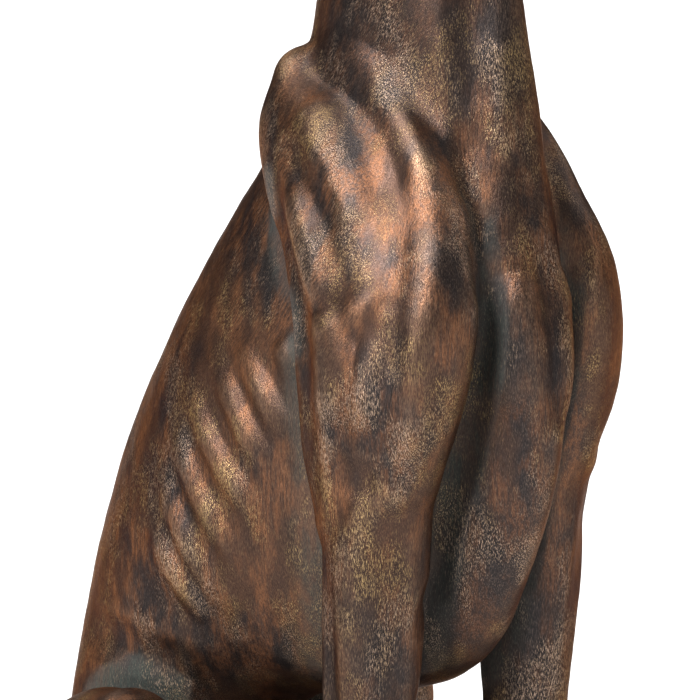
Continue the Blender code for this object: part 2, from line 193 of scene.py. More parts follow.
class Clay:
    """The rough forms, still overlapping, as closed tubes."""

    def __init__(self, scale: Scale, ring_points: int = 36) -> None:
        """Starts with no clay.

        Args:
            scale: where hundredths lie in metres.
            ring_points: how many points go round each tube.
        """
        self.scale = scale
        self.ring_points = ring_points
        self.points: list[np.ndarray] = []
        self.faces: list[tuple[int, ...]] = []
        self.count = 0

    def tube(self, centres, sides, fores, half_sides, half_fores, keels) -> None:
        """Adds one closed tube with a dome on both ends.

        Args:
            centres: the middle of each ring.
            sides: the way across each ring.
            fores: the way forward in each ring.
            half_sides: half of each ring's width.
            half_fores: half of each ring's depth.
            keels: how much narrower each ring is at its front.
        """
        turns = np.linspace(0, 2 * math.pi, self.ring_points, endpoint=False)

        def ring(i: int, shift: np.ndarray, size: float) -> np.ndarray:
            narrow = 1 - keels[i] * (1 + np.cos(turns)) / 2
            across = np.outer(np.sin(turns) * narrow, sides[i]) * half_sides[i] * size
            return centres[i] + shift + across + np.outer(np.cos(turns), fores[i]) * half_fores[i] * size

        def dome(i: int, outward: np.ndarray) -> tuple[list[np.ndarray], np.ndarray]:
            outward = outward / np.linalg.norm(outward)
            depth = min(half_sides[i], half_fores[i])
            tilts = [math.radians(angle) for angle in (25, 50, 72)]
            rings = [ring(i, outward * depth * math.sin(a), math.cos(a)) for a in tilts]
            return rings, centres[i] + outward * depth

        start, start_tip = dome(0, centres[0] - centres[1])
        end, end_tip = dome(len(centres) - 1, centres[-1] - centres[-2])
        middle = [ring(i, np.zeros(3), 1.0) for i in range(len(centres))]
        rings = start[::-1] + middle + end
        first, n = self.count, self.ring_points
        for low in range(len(rings) - 1):
            for k in range(n):
                j = (k + 1) % n
                corners = (low * n + k, low * n + j, (low + 1) * n + j, (low + 1) * n + k)
                self.faces.append(tuple(first + c for c in corners))
        last = first + (len(rings) - 1) * n
        tips = first + len(rings) * n
        for k in range(n):
            self.faces.append((first + (k + 1) % n, first + k, tips))
            self.faces.append((last + k, last + (k + 1) % n, tips + 1))
        self.points.extend([*rings, start_tip[None], end_tip[None]])
        self.count = tips + 2

    def add_slices(self, slices: tuple[Slice, ...]) -> None:
        """Adds a form on the middle plane, such as the trunk, through its slices."""
        rows = eased([(*s.back, *s.belly, s.half_width, s.keel) for s in slices])
        backs = np.array([self.scale.spot(0, r[0], r[1]) for r in rows])
        bellies = np.array([self.scale.spot(0, r[2], r[3]) for r in rows])
        depths = np.linalg.norm(bellies - backs, axis=1)
        sides = np.tile([1.0, 0.0, 0.0], (len(rows), 1))
        fores = (bellies - backs) / depths[:, None]
        width = rows[:, 4] * self.scale.share
        self.tube((backs + bellies) / 2, sides, fores, width, depths / 2, rows[:, 5])

    def add_limb(self, knots: tuple[Knot, ...], side: int, across: tuple = (1.0, 0.0, 0.0)) -> None:
        """Adds a limb or a muscle.

        Args:
            knots: the cuts along it.
            side: 1 for the dog's left, -1 for its right.
            across: the way that half_side is measured along.
        """
        rows = eased([k.row() for k in knots])
        centres = np.array([self.scale.spot(side * r[0], r[1], r[2]) for r in rows])
        tangents = np.gradient(centres, axis=0)
        tangents /= np.linalg.norm(tangents, axis=1)[:, None]
        sides = np.array(across) - tangents * (tangents @ np.array(across))[:, None]
        sides /= np.linalg.norm(sides, axis=1)[:, None]
        sizes = rows[:, 3:5] * self.scale.share
        fores = np.cross(tangents, sides)
        self.tube(centres, sides, fores, sizes[:, 0], sizes[:, 1], np.zeros(len(rows)))

    def lump(self, name: str) -> bpy.types.Object:
        """The forms as one object, with all faces pointing out."""
        mesh = bpy.data.meshes.new(name)
        mesh.from_pydata(np.vstack(self.points).tolist(), [], self.faces)
        made = bpy.data.objects.new(name, mesh)
        bpy.context.scene.collection.objects.link(made)
        select_only(made)
        bpy.ops.object.mode_set(mode="EDIT")
        bpy.ops.mesh.select_all(action="SELECT")
        bpy.ops.mesh.normals_make_consistent(inside=False)
        bpy.ops.object.mode_set(mode="OBJECT")
        return made


class Skin:
    """The one skin over the clay, with the tools that shape it and read its forms."""

    def __init__(self, piece: bpy.types.Object, scale: Scale) -> None:
        """Takes the object whose mesh is the skin."""
        self.piece = piece
        self.scale = scale

    @property
    def mesh(self) -> bpy.types.Mesh:
        """The skin's mesh as it is now."""
        return self.piece.data

    def places(self) -> np.ndarray:
        """Where each vertex is."""
        return numbers(self.mesh.vertices, "co", 3)

    def shares(self) -> np.ndarray:
        """Each vertex in hundredths: out from the middle, ahead of the forelegs and above the soles."""
        p = self.places()
        ahead = -p[:, 1] / self.scale.share - self.scale.forelegs_ahead
        up = (p[:, 2] - self.scale.sole_level) / self.scale.share
        return np.column_stack([np.abs(p[:, 0]) / self.scale.share, ahead, up])

    def tree(self) -> BVHTree:
        """A search tree over the skin's faces."""
        return BVHTree.FromPolygons(
            [tuple(p) for p in self.places()], [tuple(f.vertices) for f in self.mesh.polygons]
        )

    def fuse(self, grain: float) -> None:
        """Lays one closed skin over the overlapping forms, with faces of about the size given."""
        fusing = self.piece.modifiers.new("fuse", "REMESH")
        fusing.mode = "VOXEL"
        fusing.voxel_size = grain
        apply_modifiers(self.piece)

    def soften(self, weights: np.ndarray, rounds: int) -> None:
        """Melts the joins between the forms.

        Args:
            weights: how soft each vertex is, from 0 to 1.
            rounds: how many times the skin is smoothed.
        """
        group = self.piece.vertex_groups.new(name="soft")
        levels = np.round(weights, 1)
        for level in np.unique(levels):
            group.add(np.flatnonzero(levels == level).tolist(), float(level), "REPLACE")
        smooth = self.piece.modifiers.new("soften", "SMOOTH")
        smooth.factor = 0.5
        smooth.iterations = rounds
        smooth.vertex_group = group.name
        apply_modifiers(self.piece)
        self.piece.vertex_groups.clear()

    def on_skin(self, tree: BVHTree, stroke: Stroke) -> np.ndarray:
        """The stroke's points where they meet the skin, looked at along its page's view."""
        right, up, gaze = stroke.page.axes()
        middle = self.scale.spot(0.0, 0.0, self.scale.page_height)
        found = []
        for across, height in eased(list(stroke.points)):
            rise = height - self.scale.page_height
            start = middle + (right * across + up * rise - gaze * 100.0) * self.scale.share
            place = tree.ray_cast(Vector(start), Vector(gaze))[0]
            if place is not None:
                found.append(place)
        return np.array(found)

    def melt(self, strokes: tuple[Stroke, ...], rounds: int) -> None:
        """Smooths the skin along each stroke, on both sides of the figure.

        Args:
            strokes: the strokes, whose lift is the share of the smoothing that is taken over.
            rounds: how many times the skin is smoothed.
        """
        places = self.places()
        share = self.marked(strokes)
        self.move(places + (self.blurred(places, rounds) - places) * share[:, None])

    def marked(self, strokes: tuple[Stroke, ...]) -> np.ndarray:
        """How strongly strokes mark each vertex, on both sides of the figure.

        Args:
            strokes: the strokes, whose lift is the mark that they leave along their line.

        Returns:
            One number for each vertex, 0 beyond the reach of every stroke.
        """
        tree, places = self.tree(), self.places()
        mark = np.zeros(len(places))
        for stroke in strokes:
            line = self.on_skin(tree, stroke)
            for mirror in MIRRORS.values():
                far = self.nearness(places, line * mirror)[0] / (stroke.reach * self.scale.share)
                mark = np.maximum(mark, stroke.lift * between(far, 1.0, 0.1))
        return mark

    def keep_inside(self, low: Vector, high: Vector) -> None:
        """Keeps every vertex inside a box."""
        self.move(np.clip(self.places(), np.array(low) + 0.00005, np.array(high) - 0.00005))

    def stroke(self, strokes: tuple[Stroke, ...], fade: float = 0.25) -> None:
        """Lifts or sinks the skin along each stroke, on both sides of the figure.

        Args:
            strokes: the strokes, drawn on the right side or down the middle.
            fade: the share of a stroke over which it grows at each end.
        """
        tree, places = self.tree(), self.places()
        normals = numbers(self.mesh.vertex_normals, "vector", 3)
        lift = np.zeros(len(places))
        for stroke in strokes:
            line = self.on_skin(tree, stroke)
            if len(line) < 2:
                LOG.warning("a stroke at %s misses the skin", stroke.points[0])
                continue
            reach = stroke.reach * self.scale.share
            middle = np.abs(line[:, 0]).max() < 0.1 * reach
            for side in (1,) if middle else (1, -1):
                drawn = line * MIRRORS[side]
                inside = (places > drawn.min(0) - reach) & (places < drawn.max(0) + reach)
                index = np.flatnonzero(inside.all(axis=1))
                far, along = self.nearness(places[index], drawn)
                swell = np.clip(1 - (far / reach) ** 2, 0, 1) ** 2
                ends = np.sin(np.clip(np.minimum(along, 1 - along) / fade, 0, 1) * math.pi / 2)
                lift[index] += stroke.lift * self.scale.share * swell * (0.12 + 0.88 * ends)
        self.move(places + normals * lift[:, None])

    @staticmethod
    def nearness(places: np.ndarray, line: np.ndarray) -> tuple[np.ndarray, np.ndarray]:
        """Measures places against a line of points.

        Args:
            places: the places to measure.
            line: the points of the line.

        Returns:
            How far each place is from the line, and how far along it that is, from 0 to 1.
        """
        best = np.full(len(places), np.inf)
        along = np.zeros(len(places))
        for i, (start, end) in enumerate(zip(line, line[1:])):
            step = end - start
            t = np.clip((places - start) @ step / max(step @ step, 1e-12), 0, 1)
            far = np.linalg.norm(places - start - t[:, None] * step, axis=1)
            closer = far < best
            best[closer] = far[closer]
            along[closer] = (i + t[closer]) / (len(line) - 1)
        return best, along

    def knead(self, depth: float, size: float) -> None:
        """Leaves the faint unevenness of a hand-modelled surface.

        Args:
            depth: how far the skin moves, in metres.
            size: how wide the dips and rises are, in metres.
        """
        places = self.places()
        normals = numbers(self.mesh.vertex_normals, "vector", 3)
        lift = np.array([noise.fractal(Vector(p / size), 1.0, 2.0, 3) for p in places])
        self.move(places + normals * (lift * depth)[:, None])

    def move(self, places: np.ndarray) -> None:
        """Puts each vertex where it is told."""
        self.mesh.vertices.foreach_set("co", places.ravel())
        self.mesh.update()

    def blurred(self, values: np.ndarray, rounds: int) -> np.ndarray:
        """Values at the vertices, each averaged with its neighbours' a number of times."""
        edges = numbers(self.mesh.edges, "vertices", 2)
        count = len(self.mesh.vertices)
        degree = np.bincount(edges.ravel(), minlength=count).astype(float)[:, None] + 1
        values = values.reshape(count, -1)
        for _ in range(rounds):
            total = values.copy()
            for column in range(values.shape[1]):
                total[:, column] += np.bincount(edges[:, 0], values[edges[:, 1], column], count)
                total[:, column] += np.bincount(edges[:, 1], values[edges[:, 0], column], count)
            values = total / degree
        return values

    def crests(self, rounds: int) -> np.ndarray:
        """How far each vertex stands above its smoothed surroundings, in metres."""
        places = self.places()
        normals = numbers(self.mesh.vertex_normals, "vector", 3)
        return np.einsum("ij,ij->i", places - self.blurred(places, rounds), normals)

    def shelter(self, rays: int, length: float) -> np.ndarray:
        """How much of the sky each vertex can't see, from 0 in the open to 1 in a deep fold.

        Args:
            rays: how many ways are tried at each vertex.
            length: how far off something still shelters, in metres.

        Returns:
            One share for each vertex.
        """
        tree, places = self.tree(), self.places()
        normals = numbers(self.mesh.vertex_normals, "vector", 3)
        golden = math.pi * (3 - math.sqrt(5))
        heights = 1 - (np.arange(rays) + 0.5) / rays * 0.85
        spread = np.sqrt(1 - heights**2)
        turns = np.arange(rays) * golden
        ways = np.column_stack([spread * np.cos(turns), spread * np.sin(turns), heights])
        hits = np.zeros(len(places))
        for i, (place, normal) in enumerate(zip(places, normals)):
            up = Vector(normal)
            turn = up.to_track_quat("Z", "Y").to_matrix()
            start = Vector(place) + up * 0.0008
            for way in ways:
                hits[i] += tree.ray_cast(start, turn @ Vector(way), length)[0] is not None
        return hits / rays

    def thin_out(self, triangles: int) -> None:
        """Brings the skin down to about so many triangles, fewer where it is flat."""
        fewer = self.piece.modifiers.new("fewer faces", "DECIMATE")
        fewer.ratio = min(1.0, triangles / (2 * len(self.mesh.polygons)))
        apply_modifiers(self.piece)

    def flat_soles(self) -> None:
        """Cuts the skin flat where it stands on the base."""
        select_only(self.piece)
        bpy.ops.object.mode_set(mode="EDIT")
        bpy.ops.mesh.select_all(action="SELECT")
        level = (0.0, 0.0, self.scale.sole_level)
        bpy.ops.mesh.bisect(plane_co=level, plane_no=(0, 0, 1), use_fill=True, clear_inner=True)
        bpy.ops.object.mode_set(mode="OBJECT")

    def write(self, name: str, values: np.ndarray) -> None:
        """Keeps one number for each vertex on the mesh, for the patina to read."""
        layer = self.mesh.attributes.new(name, "FLOAT", "POINT")
        layer.data.foreach_set("value", values.astype(np.float32))


def between(values: np.ndarray, low: float, high: float) -> np.ndarray:
    """Values mapped so that low gives 0 and high gives 1, eased at both ends."""
    t = np.clip((values - low) / (high - low), 0, 1)
    return t * t * (3 - 2 * t)


class NodeSheet:
    """Lays out the nodes of one material."""

    def __init__(self, name: str) -> None:
        """Starts a material with its shader and output alone."""
        self.material = bpy.data.materials.new(name)
        self.material.use_nodes = True
        self.tree = self.material.node_tree
        self.shader = self.tree.nodes["Principled BSDF"]
        self.coordinates = self.tree.nodes.new("ShaderNodeTexCoord").outputs["Object"]

    def node(self, kind: str, inputs: dict | None = None, **settings):
        """Adds a node.

        Args:
            kind: Blender's name for the node.
            inputs: what goes into its sockets, as values or as other nodes' outputs.
            settings: the node's own settings.

        Returns:
            The new node.
        """
        made = self.tree.nodes.new(kind)
        for key, value in settings.items():
            setattr(made, key, value)
        for key, value in (inputs or {}).items():
            self.feed(made.inputs[key], value)
        return made

    def feed(self, socket, value) -> None:
        """Links an output to the socket, or sets the socket's own value."""
        if isinstance(value, bpy.types.NodeSocket):
            self.tree.links.new(value, socket)
        else:
            socket.default_value = value

    def number(self, name: str):
        """The number that the mesh keeps under this name."""
        return self.node("ShaderNodeAttribute", attribute_name=name).outputs["Fac"]

    def math(self, operation: str, *values, clamp: bool = False):
        """The result of one sum."""
        made = self.node("ShaderNodeMath", dict(enumerate(values)), operation=operation, use_clamp=clamp)
        return made.outputs[0]

    def ramp(self, value, low: float, high: float, to_low: float = 0.0, to_high: float = 1.0):
        """A value mapped from one range to another, eased at both ends."""
        sockets = {"Value": value, 1: low, 2: high, 3: to_low, 4: to_high}
        made = self.node("ShaderNodeMapRange", sockets, interpolation_type="SMOOTHSTEP")
        return made.outputs[0]

    def grain(self, size: float, stretch: float = 1.0, tilt: float = 0.0, detail: float = 2.0, offset: float = 0.0):
        """Noise whose marks have about the size given.

        Args:
            size: how wide the marks are, in metres.
            stretch: how many times longer they are than wide.
            tilt: how far they lean forward from upright, in degrees.
            detail: how many finer layers there are.
            offset: moves the pattern, so that two of them differ.

        Returns:
            The noise, about 0.3 to 0.7.
        """
        place = self.coordinates
        if tilt:
            turn = {"Vector": place, "Angle": math.radians(tilt)}
            place = self.node("ShaderNodeVectorRotate", turn, rotation_type="X_AXIS").outputs[0]
        sockets = {"Vector": place, "Scale": (1.0, 1.0, 1.0 / stretch), "Location": (offset, offset, offset)}
        place = self.node("ShaderNodeMapping", sockets).outputs[0]
        sockets = {"Vector": place, "Scale": 1.0 / size, "Detail": detail, "Roughness": 0.6}
        return self.node("ShaderNodeTexNoise", sockets).outputs["Fac"]

    def mix(self, share, first, second):
        """A colour between two others.

        Args:
            share: how much of the second colour there is.
            first: the colour, or a node's output, below.
            second: the colour, or a node's output, on top.

        Returns:
            The mixed colour.
        """
        made = self.node("ShaderNodeMix", data_type="RGBA")
        for socket, value in zip((made.inputs[0], made.inputs[6], made.inputs[7]), (share, first, second)):
            self.feed(socket, (*value, 1.0) if isinstance(value, tuple) else value)
        return made.outputs[2]

    def blend(self, share, first, second):
        """A number between two others."""
        made = self.node("ShaderNodeMix", {0: share, 2: first, 3: second}, data_type="FLOAT")
        return made.outputs[0]


Colour = tuple[float, float, float]


@dataclass(frozen=True)
class BronzePatina:
    """Aged brown bronze, rubbed copper and gold on its crests and grey-green in its hollows, with painted highlight
    on its broad crests and painted shade on the front of the neck, breast and forelegs and behind the elbows.
    """

    charcoal: Colour = (0.036, 0.031, 0.031)
    umber: Colour = (0.080, 0.046, 0.034)
    copper: Colour = (0.195, 0.088, 0.047)
    rubbed: Colour = (0.62, 0.43, 0.31)
    gold: Colour = (0.58, 0.39, 0.17)
    green: Colour = (0.038, 0.050, 0.045)
    pit: Colour = (0.010, 0.009, 0.009)
    edge: Colour = (0.52, 0.36, 0.28)

    def material(self, name: str) -> bpy.types.Material:
        """Builds the finish.

        Args:
            name: the material's name.

        Returns:
            A material that reads five numbers from the mesh: crest, broad, hollow, lean, and the painted shade on
            the front of the neck, breast and forelegs.
        """
        s = NodeSheet(name)
        crest, broad, hollow, lean, painted_shade = (s.number(n) for n in ("crest", "broad", "hollow", "lean", "painted_shade"))
        patches = s.ramp(s.grain(0.045, 2.2, detail=3.0), 0.42, 0.60)
        blotches = s.ramp(s.grain(0.018, 2.4, detail=4.0, offset=3.1), 0.42, 0.64)
        worked = s.ramp(s.grain(0.032, 1.6, detail=2.0, offset=11.0), 0.42, 0.60)
        streaks = s.blend(lean, s.grain(0.0013, 12.0, detail=4.0), s.grain(0.0013, 12.0, -32.0, 4.0, 1.7))
        bristle = s.blend(lean, s.grain(0.0004, 7.0, offset=5.0), s.grain(0.0004, 7.0, -32.0, 2.0, 6.0))
        stipple = s.blend(lean, s.grain(0.0004, 2.2, offset=8.0), s.grain(0.0004, 2.2, -32.0, 2.0, 9.0))

        height = s.math("ADD", s.math("MULTIPLY", crest, 0.35), s.math("MULTIPLY", broad, 0.5))
        height = s.math("SUBTRACT", height, s.math("MULTIPLY", hollow, 0.9))
        ground = s.mix(patches, self.charcoal, self.umber)
        warm = s.math("MULTIPLY", blotches, s.ramp(hollow, 0.8, 0.2))
        warm = s.math("MULTIPLY", warm, s.ramp(streaks, 0.36, 0.62, 0.25, 1.0))
        ground = s.mix(warm, ground, self.copper)
        mossy = s.math("MULTIPLY", hollow, s.ramp(streaks, 0.35, 0.65, 0.5, 1.0))
        mossy = s.math("MULTIPLY", mossy, s.ramp(blotches, 0.0, 1.0, 1.0, 0.4))
        ground = s.mix(mossy, ground, self.green)

        # Rubbed wear and painted highlight: the broad crests are lightened smoothly towards pale copper
        wear_and_painted_sheen = s.math("MULTIPLY", s.ramp(height, 0.1, 1.6), s.ramp(streaks, 0.35, 0.6, 0.25, 0.75))
        ground = s.mix(wear_and_painted_sheen, ground, s.mix(0.35, self.copper, self.rubbed))
        # Painted shade: the front of the neck, the breast and the forelegs are mixed towards charcoal, with more
        # black fibres
        ground = s.mix(s.math("MULTIPLY", painted_shade, 0.6), ground, self.charcoal)
        fibres = s.ramp(s.math("ADD", bristle, s.math("MULTIPLY", painted_shade, -0.02)), 0.52, 0.40, 0.0, 0.38)
        ground = s.mix(fibres, ground, self.pit)

        tint = s.mix(patches, self.rubbed, self.gold)
        amount = s.math("ADD", s.ramp(height, -0.2, 1.0, 0.0, 0.07), s.math("MULTIPLY", worked, 0.05))
        rub = s.math("MULTIPLY", s.ramp(s.math("ADD", bristle, amount), 0.56, 0.76), s.ramp(worked, 0.0, 1.0, 0.14, 0.62))
        colour = s.mix(rub, ground, tint)
        flecks = s.math("ADD", stipple, s.math("MULTIPLY", amount, 0.8))
        flecks = s.math("MULTIPLY", s.ramp(flecks, 0.70, 0.76), s.math("MULTIPLY", worked, 0.55))
        colour = s.mix(flecks, colour, self.gold)
        pits = s.math("MULTIPLY", s.ramp(stipple, 0.47, 0.36), s.ramp(worked, 0.0, 1.0, 0.2, 0.75))
        colour = s.mix(pits, colour, self.pit)
        s.feed(s.shader.inputs["Base Color"], colour)

        s.feed(s.shader.inputs["Metallic"], s.ramp(hollow, 0.2, 0.8, 0.92, 0.3))
        rough = s.math("ADD", s.ramp(streaks, 0.3, 0.7, 0.34, 0.45), s.math("MULTIPLY", hollow, 0.25))
        s.feed(s.shader.inputs["Roughness"], rough)
        s.shader.inputs["Specular IOR Level"].default_value = 0.4
        s.shader.inputs["Specular Tint"].default_value = (*self.edge, 1.0)

        relief = s.math("ADD", s.math("MULTIPLY", streaks, 0.6), s.math("MULTIPLY", bristle, 0.5))
        relief = s.math("ADD", relief, s.math("MULTIPLY", stipple, s.ramp(worked, 0.0, 1.0, 0.25, 0.7)))
        bump = s.node("ShaderNodeBump", {"Height": relief, "Strength": 0.55, "Distance": 0.0007})
        s.feed(s.shader.inputs["Normal"], bump.outputs[0])
        return s.material


@dataclass
class Greyhound:
    """The casting: the whole dog, in one piece."""

    scale: Scale
    low: Vector
    high: Vector
    grain: float = 0.0017
    softening: int = 52
    triangles: int = 190000
    rib_reach: float = 1.65
    rib_lift: float = 0.50
    rib_fade: float = 0.5

    trunk: tuple[Slice, ...] = (
        Slice((-34.5, 3.0), (-25.0, -1.0), 7.0),
        Slice((-37.2, 9.0), (-23.5, 4.5), 8.8, 0.05),
        Slice((-37.7, 16.0), (-21.5, 10.5), 8.9, 0.1),
        Slice((-36.9, 22.5), (-17.5, 17.6), 8.7, 0.15),
        Slice((-35.2, 29.0), (-11.0, 20.6), 9.5, 0.25),
        Slice((-33.2, 35.2), (-3.5, 21.7), 10.3, 0.35),
        Slice((-30.2, 41.8), (3.6, 25.2), 10.9, 0.42),
        Slice((-26.2, 48.5), (8.6, 34.0), 10.8, 0.5),
        Slice((-21.7, 55.0), (10.9, 42.6), 10.0, 0.52),
        Slice((-17.1, 60.9), (10.6, 50.0), 8.9, 0.42),
        Slice((-13.4, 67.1), (9.0, 57.0), 7.6, 0.2),
        Slice((-11.7, 73.5), (7.0, 66.0), 6.5, 0.1),
        Slice((-10.6, 80.0), (5.4, 75.0), 5.5),
        Slice((-9.6, 86.5), (4.0, 82.5), 4.7),
        Slice((-8.2, 92.5), (2.2, 87.0), 4.2),
    )
    head: tuple[Slice, ...] = (
        Slice((-6.6, 94.6), (-3.2, 85.6), 3.9),
        Slice((-4.0, 98.2), (-0.8, 85.2), 4.4),
        Slice((0.4, 99.8), (2.4, 85.6), 4.4),
        Slice((4.6, 99.0), (5.8, 86.0), 3.9),
        Slice((8.2, 97.0), (8.9, 86.3), 3.0),
        Slice((11.8, 95.4), (12.2, 86.6), 2.4),
        Slice((16.0, 94.0), (16.0, 87.0), 2.0),
        Slice((19.6, 93.0), (19.2, 87.4), 1.8),
        Slice((21.4, 92.0), (20.8, 88.2), 1.4),
    )
    ear: tuple[Knot, ...] = (
        Knot(3.2, -0.8, 97.8, 0.9, 1.6),
        Knot(4.5, -2.6, 97.6, 0.9, 2.1),
        Knot(5.0, -5.0, 96.0, 0.8, 1.9),
        Knot(4.9, -7.6, 93.4, 0.65, 1.3),
        Knot(4.6, -9.2, 91.4, 0.6, 0.7),
    )
    foreleg: tuple[Knot, ...] = (
        Knot(8.0, 0.9, 42.0, 3.9, 4.3),
        Knot(8.05, 0.8, 36.5, 3.9, 4.1),
        Knot(8.15, 0.4, 30.5, 3.8, 4.0),
        Knot(8.3, 0.0, 23.0, 3.35, 3.55),
        Knot(8.3, 0.0, 16.5, 2.85, 3.1),
        Knot(8.25, 0.4, 11.5, 2.75, 3.1),
        Knot(8.2, 1.0, 7.0, 2.5, 2.7),
        Knot(8.2, 2.4, 3.3, 2.9, 3.0),
    )
    shoulder_blade: tuple[Knot, ...] = (
        Knot(4.9, -9.9, 67.0, 2.6, 2.6),
        Knot(5.7, -8.8, 64.0, 3.2, 4.8),
        Knot(6.4, -6.0, 60.4, 3.7, 6.0),
        Knot(7.0, -2.4, 56.2, 4.1, 6.0),
        Knot(7.6, 0.8, 52.0, 4.3, 5.4),
    )
    upper_arm: tuple[Knot, ...] = (
        Knot(4.3, -7.0, 67.6, 1.8, 2.2),
        Knot(4.6, -4.0, 66.4, 2.0, 2.5),
        Knot(4.8, -1.2, 64.4, 2.3, 2.9),
        Knot(5.1, 1.1, 61.8, 2.6, 3.1),
        Knot(5.6, 2.8, 58.9, 3.0, 3.4),
        Knot(6.2, 3.9, 55.9, 3.4, 3.8),
        Knot(6.8, 4.3, 52.8, 3.7, 4.2),
        Knot(7.5, 4.1, 49.5, 3.9, 4.5),
        Knot(7.8, 3.5, 46.5, 4.0, 4.6),
        Knot(8.1, 2.4, 43.0, 4.0, 4.6),
        Knot(8.1, 1.2, 39.0, 3.9, 4.3),
    )
    triceps: tuple[Knot, ...] = (
        Knot(6.4, -8.4, 61.6, 2.6, 3.8),
        Knot(7.8, -5.0, 57.0, 3.0, 4.2),
        Knot(8.7, -2.2, 51.8, 3.5, 4.3),
        Knot(9.1, -1.2, 46.4, 3.7, 4.2),
        Knot(8.9, -1.0, 41.0, 3.6, 3.9),
        Knot(8.5, -0.6, 36.0, 3.4, 3.5),
    )
    haunch: tuple[Knot, ...] = (
        Knot(5.2, -34.0, 8.0, 4.4, 5.4),
        Knot(8.4, -30.4, 10.2, 4.8, 6.9),
        Knot(10.9, -26.4, 12.8, 4.7, 6.8),
        Knot(12.7, -22.6, 15.4, 4.4, 5.8),
        Knot(13.3, -20.0, 16.9, 4.1, 4.6),
    )
    shank: tuple[Knot, ...] = (
        Knot(13.3, -20.4, 15.8, 3.7, 4.2),
        Knot(13.0, -24.5, 12.0, 3.0, 4.0),
        Knot(12.4, -29.8, 7.6, 2.3, 2.8),
        Knot(11.8, -34.0, 4.2, 1.9, 2.1),
    )
    hind_foot: tuple[Knot, ...] = (
        Knot(11.8, -34.4, 2.4, 1.9, 2.2),
        Knot(12.2, -29.0, 1.7, 1.9, 1.9),
        Knot(12.7, -22.5, 1.6, 2.1, 1.9),
        Knot(13.1, -17.2, 1.9, 2.6, 2.2),
    )
    tail: tuple[Knot, ...] = (
        Knot(0.0, -34.0, 6.5, 2.6, 2.6),
        Knot(1.4, -38.6, 3.2, 2.0, 2.0),
        Knot(6.0, -41.0, 1.5, 1.7, 1.7),
        Knot(12.0, -40.0, 1.3, 1.5, 1.5),
        Knot(16.0, -35.0, 1.2, 1.35, 1.35),
        Knot(17.0, -27.5, 1.1, 1.2, 1.2),
        Knot(16.6, -20.0, 0.9, 1.0, 1.0),
        Knot(16.6, -16.0, 0.8, 0.8, 0.8),
    )
    toe_spread: tuple[float, ...] = (-1.75, -0.62, 0.62, 1.75)
    toe_ahead: tuple[float, ...] = (-0.5, 0.45, 0.45, -0.5)
    eye: tuple[float, float] = (6.8, 94.4)
    eye_radius: float = 0.74
    forepaw: tuple[float, float] = (8.2, 3.7)
    hindpaw: tuple[float, float] = (13.2, -15.2)

